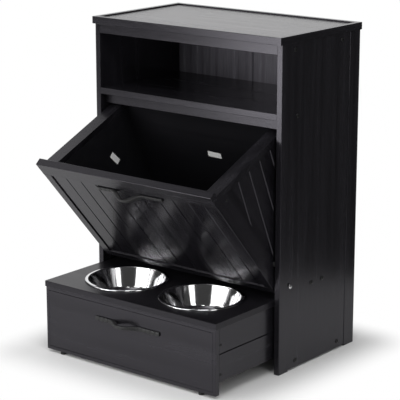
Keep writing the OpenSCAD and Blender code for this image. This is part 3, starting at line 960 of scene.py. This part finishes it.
@dataclass
class BowHandle:
    """A strap handle whose middle bows out, with its feet on Y = 0 and its bow towards -Y.

    Args:
        length: The length over the feet.
        height: The height of the strap at its feet.
        reach: How far the bow stands out.
        thickness: The thickness of the strap.
        bow: The length of the bow.
        waist: The height of the strap in the bow, as a share of its height at the feet.
        narrowing: How many times sooner the strap has its waist than its full reach.
        edge: The radius of its edges.
        foot_steps: The number of steps along each foot.
        steps: The number of steps along the bow.
    """

    length: float
    height: float
    reach: float
    thickness: float = 0.0045
    bow: float = 0.100
    waist: float = 0.8
    narrowing: float = 1.4
    edge: float = 0.0016
    foot_steps: int = 4
    steps: int = 28

    @classmethod
    def from_node(cls, node: str) -> BowHandle:
        """Returns the handle that fills a node's box."""
        low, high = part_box(node)
        return cls(high.x - low.x, high.z - low.z, high.y - low.y)

    def bow_out(self, x: float) -> float:
        """Works out how far the strap's back stands out.

        Args:
            x: The place along the strap.

        Returns:
            The distance from the feet.
        """
        if abs(x) >= self.bow / 2:
            return 0.0
        return (self.reach - self.thickness) * (1 + math.cos(2 * math.pi * x / self.bow)) / 2

    def stations(self) -> list[float]:
        """Lists the places along the strap where its section is set.

        Returns:
            The places, from end to end.
        """
        foot_step = (self.length - self.bow) / 2 / self.foot_steps
        foot = [self.length / 2 - foot_step * step for step in range(self.foot_steps)]
        bow = [self.bow * (0.5 - step / self.steps) for step in range(self.steps + 1)]
        return [-x for x in foot] + [-x for x in bow] + foot[::-1]

    def make(self) -> Piece:
        """Extrudes the strap from foot to foot and rounds its edges.

        Returns:
            The handle, to be copied.
        """
        places = self.stations()
        start, second = places[0], places[1]
        strap = Bench.start(
            "handle_pattern",
            bpy.ops.mesh.primitive_cube_add,
            (second - start, self.thickness, self.height),
            size=1,
            location=((start + second) / 2, -self.thickness / 2, 0),
        )
        for face in strap.data.polygons:
            face.select = face.normal.x > FACING
        share = 1.0
        with Bench.editing(strap):
            for here, there in zip(places[1:], places[2:]):
                out = self.bow_out(there)
                now = 1 - (1 - self.waist) * min(1.0, self.narrowing * out / self.reach)
                move = Vector((there - here, self.bow_out(here) - out, 0))
                Bench.grow(move, Vector((1, 1, now / share)), Vector((there, 0, 0)))
                share = now
        Bench.finish(
            strap,
            "BEVEL",
            width=self.edge,
            segments=4,
            limit_method="ANGLE",
            angle_limit=math.radians(50),
        )
        Bench.smooth(strap)
        return strap


@dataclass
class Sticker:
    """A blank paper sticker with round corners, stuck on a wall of the bin.

    Args:
        name: The piece's name.
        wall: The node of the wall.
        look: Roughly the direction that the wall's face looks in, with the bin shut.
        place: The sticker's place near that face, from the pivot, with the bin shut.
        turn: Its turn on the face, in degrees.
        width: Its size along X.
        height: Its size along Y.
        thickness: The thickness of the paper.
        corner: The radius of its corners.
    """

    name: str
    wall: str
    look: Triple
    place: Triple
    turn: float
    width: float
    height: float
    thickness: float = 0.00025
    corner: float = 0.002

    def make(self, seat: Matrix) -> Piece:
        """Makes the sticker.

        Args:
            seat: Its place on the wall, before its own turn.

        Returns:
            The sticker, in its place.
        """
        sticker = Bench.start(
            self.name,
            bpy.ops.mesh.primitive_plane_add,
            (self.width, self.height, 1),
            size=1,
            location=(0, 0, self.thickness),
        )
        with Bench.editing(sticker, Part.CORNER):
            bpy.ops.mesh.select_all(action="SELECT")
            bpy.ops.mesh.bevel(offset=self.corner, segments=5, affect="VERTICES")
        Bench.finish(sticker, "SOLIDIFY", thickness=self.thickness, offset=-1.0)
        Bench.place(sticker, seat @ Matrix.Rotation(math.radians(self.turn), 4, "Z"))
        return sticker


# ---------------------------------------------------------------- sub-assemblies


@dataclass
class BinFrame:
    """The frame of the open bin, which hangs on its pivots.

    Args:
        pivot: A point on the pivots' axis.
        tilt: How far the bin is open, in radians.
    """

    pivot: Vector
    tilt: float

    @classmethod
    def from_joint(cls, name: str) -> BinFrame:
        """Returns the bin's frame as its joint gives it."""
        joint = next(j for j in frame["joints"] if j["name"] == name)
        return cls(Vector(joint["pos_m"]), math.radians(-joint["range_deg"][0]))

    def opened(self) -> Matrix:
        """Returns the turn from the closed bin to the open one."""
        turn = Matrix.Rotation(self.tilt, 4, "X")
        return Matrix.Translation(self.pivot) @ turn @ Matrix.Translation(-self.pivot)

    def closed_box(self, node: str) -> Box:
        """Returns a node's lowest and highest corner with the bin shut."""
        shut = self.opened().inverted()
        return corners([shut @ vertex.co for vertex in frame["nodes"][node].data.vertices])

    def wall_frame(self, node: str, look: Vector, point: Vector) -> Matrix:
        """Finds a seat on a wall of the bin, with the bin shut.

        Args:
            node: The node of the wall.
            look: Roughly the direction that its face looks in.
            point: A point near the face.

        Returns:
            The seat's frame: Z out of the face, X level and the origin under the point.
        """
        shut = self.opened().inverted()
        turn = shut.to_3x3()
        faces = frame["nodes"][node].data.polygons
        facing = [face for face in faces if (turn @ face.normal).dot(look) > FACING]
        face = max(facing, key=lambda f: f.area)
        out = (turn @ face.normal).normalized()
        origin = point - out * (point - shut @ face.center).dot(out)
        level = Vector((0, 0, 1)).cross(out).normalized()
        axes = Matrix((level, out.cross(level), out)).transposed()
        return Matrix.Translation(origin) @ axes.to_4x4()


@dataclass
class SubAssembly:
    """Pieces that move together, with the work that such groups share.

    Args:
        body: The body that they move with.
        finishes: The station's finishes.
    """

    body: str
    finishes: FinishShelf

    def set_heads(
        self,
        head: ScrewHead,
        finish: Material,
        slot: Slot,
        pieces: Iterable[tuple[str, str, Iterable[Side]]],
    ) -> None:
        """Makes a head, copies it to the screws of some nodes and joins each node's heads.

        Args:
            head: The head.
            finish: Its finish.
            slot: Its material slot.
            pieces: For each joined piece its name, its node and the sides of that node's screws.
        """
        pattern = head.make()
        for name, node, sides in pieces:
            heads = [
                Bench.copy(pattern, f"{node}_head", side.seat(crown, head.height))
                for side in sides
                for crown in ScrewHead.places(node, side)
            ]
            mount(Bench.join(heads, name), finish, self.body, slot, node)
        Bench.scrap(pattern)

    def screw_on_handle(self, pattern: Piece, box: Box, opened: Matrix) -> None:
        """Copies the handle to the front of this body.

        Args:
            pattern: The handle that is copied.
            box: The lowest and highest corner of the handle's node while its front is upright.
            opened: The turn from there to the handle's place at rest.
        """
        low, high = box
        seat = Matrix.Translation((0, high.y, (low.z + high.z) / 2))
        piece = Bench.copy(pattern, f"{self.body}_bow_handle", opened @ seat)
        mount(piece, self.finishes.black_metal, self.body, Slot.BLACK_METAL, f"{self.body}_handle")


@dataclass
class Cabinet(SubAssembly):
    """The boards that stand still, with their bolts and pivots.

    Args:
        bolt: The radius of the bolts' heads.
        plate_bolt: The radius of the head beside each pivot.
    """

    bolt: float = 0.006
    plate_bolt: float = 0.0065

    def dress_boards(self) -> None:
        """Gives each board the laminate whose grain runs its way."""
        dress(self.finishes.top, "top_board")
        dress(self.finishes.across, "top_edging_front", "top_edging_back", "front_apron")
        dress(self.finishes.across, "shelf", "shelf_stop_rail", "bin_rest_board")
        dress(self.finishes.back, "back_panel_upper", "back_panel_lower")
        dress(self.finishes.deep, *both("top_edging", "top_cleat", "drawer_runner"))
        dress(self.finishes.upright, *both("side_panel", "back_stile"))
        dress(self.finishes.black_metal, *both("pivot_pin"))
        dress(self.finishes.bright_steel, *both("pivot_plate"))

    def make_bolts(self) -> None:
        """Makes the heads of the bolts on both sides."""
        black, bright = self.finishes.black_metal, self.finishes.bright_steel
        for stem, radius, drive, finish, slot in (
            ("cabinet_bolts", self.bolt, Drive.HEX, black, Slot.BLACK_METAL),
            ("plate_bolt", self.plate_bolt, Drive.CROSS, bright, Slot.BRIGHT_STEEL),
        ):
            head = ScrewHead.out_of("side_panel_right", Side.RIGHT.node(stem), radius, drive)
            pieces = [(f"{side.node(stem)}_heads", side.node(stem), [side]) for side in Side]
            self.set_heads(head, finish, slot, pieces)

    def build(self) -> None:
        """Builds and dresses the cabinet."""
        self.dress_boards()
        self.make_bolts()


@dataclass
class FoodBin(SubAssembly):
    """The tilting bin with its handle, buffers, screws and stickers.

    Args:
        hanging: The frame of the open bin.
        buffer: The radius of the buffers.
        screw: The radius of the side screws' heads.
        stickers: The blank stickers inside.
    """

    hanging: BinFrame
    buffer: float = 0.006
    screw: float = 0.0038
    stickers: tuple[Sticker, ...] = (
        Sticker(
            "bin_sticker_left",
            wall="bin_lining_left",
            look=(1.0, 0.0, 0.0),
            place=(0.0, 0.1447, 0.2122),
            turn=97.6,
            width=0.039,
            height=0.016,
        ),
        Sticker(
            "bin_sticker_back",
            wall="bin_back",
            look=(0.0, -0.95, 0.31),
            place=(0.018, 0.238, 0.169),
            turn=-2.4,
            width=0.0435,
            height=0.0165,
        ),
    )

    def dress_boards(self) -> None:
        """Gives each board the laminate whose grain runs its way."""
        dress(self.finishes.bin_across, "bin_top_rail", "bin_bottom_rail")
        dress(self.finishes.bin_upright, "bin_front_board")
        dress(self.finishes.bin_upright, *both("bin_stile", "bin_post", "bin_side_board"))
        dress(self.finishes.bin_deep, *both("bin_rim"))
        dress(self.finishes.lining, "bin_back", "bin_floor", *both("bin_lining", "bin_batten"))
        dress(self.finishes.black_metal, "bin_handle_screws")

    def make_small_parts(self) -> None:
        """Makes the buffers and the screw heads on the bin's sides."""
        for node, radius, finish, slot in (
            ("bin_buffers", self.buffer, self.finishes.rubber, Slot.BLACK_PLASTIC),
            ("bin_side_screws", self.screw, self.finishes.black_metal, Slot.BLACK_METAL),
        ):
            head = ScrewHead.out_of("bin_post_right", node, radius, Drive.CROSS)
            self.set_heads(head, finish, slot, [(f"{node}_heads", node, Side)])

    def stick_stickers(self) -> None:
        """Sticks the blank stickers on the left wall and on the back."""
        for sticker in self.stickers:
            point = self.hanging.pivot + Vector(sticker.place)
            seat = self.hanging.wall_frame(sticker.wall, Vector(sticker.look), point)
            piece = sticker.make(self.hanging.opened() @ seat)
            mount(piece, self.finishes.paper, self.body, Slot.BLACK_PLASTIC)

    def build(self, handle: Piece) -> None:
        """Builds and dresses the bin.

        Args:
            handle: The handle that is copied.
        """
        self.dress_boards()
        self.screw_on_handle(handle, self.hanging.closed_box("bin_handle"), self.hanging.opened())
        self.make_small_parts()
        self.stick_stickers()


@dataclass
class Drawer(SubAssembly):
    """The drawer with its handle, glides and screws.

    Args:
        screw: The radius of the side screws' heads.
    """

    screw: float = 0.0038

    def dress_boards(self) -> None:
        """Gives each board the laminate whose grain runs its way."""
        dress(self.finishes.across, "drawer_front", "drawer_back")
        dress(self.finishes.drawer_top, "drawer_top")
        dress(self.finishes.deep, *both("drawer_side"))
        dress(self.finishes.black_metal, "drawer_handle_screws")

    def make_glides(self) -> None:
        """Makes the two glides under the drawer's front."""
        low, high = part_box("drawer_glides")
        radius = (high.y - low.y) / 2
        pattern = Glide(radius, low.z, high.z).make()
        glides = [
            Bench.copy(pattern, "glide", Matrix.Translation((x, low.y + radius, 0)))
            for x in (low.x + radius, high.x - radius)
        ]
        piece = Bench.join(glides, "drawer_floor_glides")
        mount(piece, self.finishes.rubber, self.body, Slot.BLACK_PLASTIC, "drawer_glides")
        Bench.scrap(pattern)

    def make_screws(self) -> None:
        """Makes the screw heads on the drawer's sides."""
        node = "drawer_side_screws"
        head = ScrewHead.out_of("drawer_side_right", node, self.screw, Drive.CROSS)
        pieces = [("drawer_screw_heads", node, Side)]
        self.set_heads(head, self.finishes.black_metal, Slot.BLACK_METAL, pieces)

    def build(self, handle: Piece) -> None:
        """Builds and dresses the drawer.

        Args:
            handle: The handle that is copied.
        """
        self.dress_boards()
        self.screw_on_handle(handle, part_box("drawer_handle"), Matrix.Identity(4))
        self.make_glides()
        self.make_screws()


@dataclass
class FoodBowl:
    """A spun steel bowl with a flat rim whose edge is rolled down.

    Args:
        node: The bowl's node, which is its body too.
        centre: The middle of the bowl, on the floor of the station.
        radius: The radius of the rim.
        low: The height of the bowl's underside.
        high: The height of the rim.
        rim: The width of the rim outside the mouth.
        foot: The radius of the flat bottom.
        corner: The radius of the corner between the bottom and the wall.
        wall: The thickness of the steel.
        crown: The rise in the middle of the bottom.
        mouth_edge: The radius of the edge between the wall and the rim.
        rolled_edge: The radius of the rim's outer edge.
        corner_steps: The number of rings in the corner.
        segments: The number of faces round the bowl.
    """

    node: str
    centre: Vector
    radius: float
    low: float
    high: float
    rim: float = 0.010
    foot: float = 0.068
    corner: float = 0.018
    wall: float = 0.0012
    crown: float = 0.0012
    mouth_edge: float = 0.0022
    rolled_edge: float = 0.0026
    corner_steps: int = 10
    segments: int = 128

    @classmethod
    def from_node(cls, node: str) -> FoodBowl:
        """Measures the bowl that fills a node's box.

        Args:
            node: The bowl's node.

        Returns:
            The bowl.
        """
        low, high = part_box(node)
        middle = (low + high) / 2
        radius = min(high.x - low.x, high.y - low.y) / 2
        return cls(node, Vector((middle.x, middle.y, 0)), radius, low.z, high.z)

    @staticmethod
    def arc(middle: Ring, radius: float, degrees: Iterable[float]) -> list[Ring]:
        """Lists the rings of a rounding.

        Args:
            middle: The middle of the rounding.
            radius: Its radius.
            degrees: The rings' places on it, where 0 looks outwards and 90 up.

        Returns:
            The rings.
        """
        turns = [math.radians(degree) for degree in degrees]
        return [(middle[0] + radius * math.cos(a), middle[1] + radius * math.sin(a)) for a in turns]

    def rings(self) -> list[Ring]:
        """Works out the inner face.

        Returns:
            The rings, from the middle of the bottom to the rolled edge.
        """
        floor = self.low + self.wall
        mouth = self.radius - self.rim
        lip = self.high - self.mouth_edge
        bend = floor + self.corner
        reach, rise = mouth - self.foot, lip - bend
        lean = math.atan2(rise, reach) - math.acos(self.corner / math.hypot(reach, rise))
        sweep = math.degrees(lean) + 90

        shares = (0.08, 0.3, 0.55, 0.8, 1.0)
        rings = [(self.foot * share, floor + self.crown * (1 - share**2)) for share in shares]
        turns = [sweep * step / self.corner_steps - 90 for step in range(1, self.corner_steps + 1)]
        rings += self.arc((self.foot, bend), self.corner, turns)
        start, height = rings[-1]
        for share in (0.15, 0.4, 0.65, 0.85, 0.95, 1.0):
            rings.append((start + (mouth - start) * share, height + (lip - height) * share))
        rings += self.arc((mouth + self.mouth_edge, lip), self.mouth_edge, (150, 120, 90))
        outer = (self.radius - self.rolled_edge, self.high - self.rolled_edge)
        rings += self.arc(outer, self.rolled_edge, (90, 65, 40, 15, 0))
        return rings

    def build(self) -> None:
        """Spins the bowl, gives its wall a thickness and dresses it."""
        bowl = Bench.lathe(f"{self.node}_spun", self.rings(), self.segments, closed=False)
        if bowl.data.polygons[0].normal.z < 0:
            with Bench.editing(bowl):
                bpy.ops.mesh.select_all(action="SELECT")
                bpy.ops.mesh.flip_normals()
        Bench.finish(bowl, "SOLIDIFY", thickness=self.wall, offset=-1.0, use_even_offset=True)
        Bench.place(bowl, Matrix.Translation(self.centre))
        Bench.smooth(bowl, math.radians(50))
        steel = SpunSteel(f"bowl_steel_{self.node}", centre=tuple(self.centre)).make()
        mount(bowl, steel, self.node, Slot.BOWL_STEEL, self.node)


# ---------------------------------------------------------------- studio


@dataclass(frozen=True)
class Softbox:
    """A flat lamp with a plain rectangular face.

    Args:
        name: The lamp's name.
        place: Where it hangs.
        width: The width of its face.
        height: The height of its face.
        glow: The brightness of its face, where 1 looks white.
    """

    name: str
    place: Triple
    width: float
    height: float
    glow: float

    def hang(self, target: Vector) -> None:
        """Puts the lamp in the scene.

        Args:
            target: What it looks at.
        """
        lamp = bpy.data.lights.new(self.name, "AREA")
        lamp.shape = "RECTANGLE"
        lamp.size = self.width
        lamp.size_y = self.height
        lamp.energy = self.glow * math.pi * self.width * self.height
        holder = bpy.data.objects.new(self.name, lamp)
        holder.location = self.place
        holder.rotation_euler = (target - Vector(self.place)).to_track_quat("-Z", "Y").to_euler()
        holder.visible_camera = False
        bpy.context.scene.collection.objects.link(holder)


@dataclass
class Studio:
    """A pale floor, soft light and the camera.

    Args:
        front: The cabinet's front plane, along Y.
        eye: The camera's place from the middle of the cabinet's front, on the floor.
        turn: How far the camera is turned to the left, in radians.
        dip: How far it looks down, in radians.
        lens: Its focal length in millimetres.
        film: The width of its film in millimetres.
        soft: The strength of the soft light from all round.
        sweep: The middle of the white sweep that gloss shows, as a direction.
        sweep_edges: Where the sweep starts and where it is white, as cosines from its middle.
        room: How bright the room looks in gloss, away from the sweep.
        floor: The radius of the pale floor.
        floor_place: The middle of the floor.
        floor_tone: The brightness of the floor.
        footprint: Half the width and half the depth of the plain floor round the station.
        fade: Where the floor starts to turn white and where it is white, from the footprint.
        gloss_fade: The same for the floor that gloss shows.
        target: What the lamps look at.
        lamps: The lamps.
    """

    front: float
    eye: Triple = (2.5957, -3.1613, 1.4630)
    turn: float = 0.6780
    dip: float = 0.2509
    lens: float = 145.73
    film: float = 36.0
    soft: float = 0.5
    sweep: Triple = (-0.62, 0.76, 0.2)
    sweep_edges: Pair = (0.8, 0.97)
    room: float = 0.05
    floor: float = 2.3
    floor_place: Triple = (-0.9, -0.95, -0.0002)
    floor_tone: float = 0.68
    footprint: Pair = (0.31, 0.30)
    fade: Pair = (0.0, 0.16)
    gloss_fade: Pair = (0.5, 1.6)
    target: Triple = (0.0, 0.0, 0.55)
    lamps: tuple[Softbox, ...] = (
        Softbox("low_front_lamp", (-0.76, -1.9, 0.62), 0.8, 0.95, 6.0),
        Softbox("tall_front_lamp", (-0.08, -2.6, 1.3), 0.95, 2.2, 2.2),
        Softbox("tall_right_lamp", (2.5, -1.0, 1.3), 0.7, 2.2, 2.6),
        Softbox("right_front_lamp", (1.1, -1.15, 2.55), 1.0, 0.8, 7.5),
        Softbox("left_front_lamp", (-2.0, -1.9, 1.35), 1.0, 1.0, 2.4),
        Softbox("left_lamp", (-2.3, 0.0, 2.3), 1.8, 1.5, 0.75),
        Softbox("top_lamp", (-0.1, -0.6, 3.1), 1.6, 1.6, 2.2),
    )

    def set_camera(self) -> None:
        """Puts up the camera."""
        camera = bpy.data.cameras.new("camera")
        camera.sensor_width = self.film
        camera.lens = self.lens
        camera.clip_end = 100.0
        holder = bpy.data.objects.new("camera", camera)
        holder.location = Vector(self.eye) + Vector((0, self.front, 0))
        holder.rotation_euler = (math.pi / 2 - self.dip, 0, self.turn)
        bpy.context.scene.collection.objects.link(holder)
        bpy.context.scene.camera = holder

    def set_world(self) -> None:
        """Surrounds the station with soft light, with a white sweep behind it."""
        world = bpy.data.worlds.new("studio")
        bpy.context.scene.world = world
        board = NodeBoard(world)
        looking = board.add("TexCoord").outputs["Generated"]
        facing = board.add("VectorMath", looking, self.sweep, operation="DOT_PRODUCT")
        sweep = board.ramp(facing.outputs["Value"], self.sweep_edges, (self.room, 1.0))
        soft, mirrored, white = (
            board.add("Background", WHITE, strength).outputs["Background"]
            for strength in (self.soft, sweep, 1.0)
        )
        in_gloss = board.seen_by("Is Glossy Ray", "Is Transmission Ray")
        around = board.mix(in_gloss, soft, mirrored)
        seen = board.mix(board.seen_by("Is Camera Ray"), around, white)
        board.add("OutputWorld", seen)

    def paint_floor(self) -> Material:
        """Makes the floor's paint, which turns white away from the station.

        Returns:
            The material.
        """
        recipe = Recipe("floor")
        tone = (self.floor_tone, self.floor_tone, self.floor_tone, 1)
        recipe.set(Base_Color=tone, Roughness=0.9, Specular_IOR_Level=0.1)
        place = recipe.add("TexCoord").outputs["Object"]
        for operation, value in (
            ("ABSOLUTE", ORIGIN),
            ("SUBTRACT", (*self.footprint, 1)),
            ("MAXIMUM", ORIGIN),
        ):
            place = recipe.add("VectorMath", place, value, operation=operation).outputs["Vector"]
        away = recipe.add("VectorMath", place, operation="LENGTH").outputs["Value"]
        in_gloss = recipe.seen_by("Is Glossy Ray", "Is Transmission Ray")
        near = recipe.ramp(away, self.fade)
        far = recipe.ramp(away, self.gloss_fade)
        share = recipe.add("MixRGB", in_gloss, near, far).outputs["Color"]
        rays = recipe.seen_by("Is Camera Ray", "Is Glossy Ray", "Is Transmission Ray")
        white = recipe.add("Emission", WHITE, 1.0).outputs["Emission"]
        paint = recipe.shader.outputs["BSDF"]
        mixed = recipe.mix(recipe.reckon("MULTIPLY", rays, share), paint, white)
        recipe.feed(recipe.output.inputs["Surface"], mixed)
        return recipe.material

    def lay_floor(self) -> None:
        """Lays the floor."""
        floor = Bench.start(
            "floor",
            bpy.ops.mesh.primitive_circle_add,
            vertices=96,
            radius=self.floor,
            fill_type="NGON",
            location=self.floor_place,
        )
        floor.data.materials.append(self.paint_floor())

    def build(self) -> None:
        """Sets up the studio."""
        self.set_camera()
        self.set_world()
        self.lay_floor()
        for lamp in self.lamps:
            lamp.hang(Vector(self.target))
        bpy.context.scene.view_settings.view_transform = "Standard"


# ---------------------------------------------------------------- making


def main() -> None:
    """Builds the studio and every sub-assembly, and dresses them."""
    logging.basicConfig(level=logging.INFO, format="%(message)s")
    Studio(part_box("side_panel_right")[0].y).build()

    bin_frame = BinFrame.from_joint("bin_tilt")
    finishes = FinishShelf(bin_frame.tilt)
    handle = BowHandle.from_node("drawer_handle").make()

    Cabinet("cabinet", finishes).build()
    FoodBin("bin", finishes, bin_frame).build(handle)
    Drawer("drawer", finishes).build(handle)
    for side in Side:
        FoodBowl.from_node(side.node("bowl")).build()
    Bench.scrap(handle)


if __name__ == "__main__":
    main()
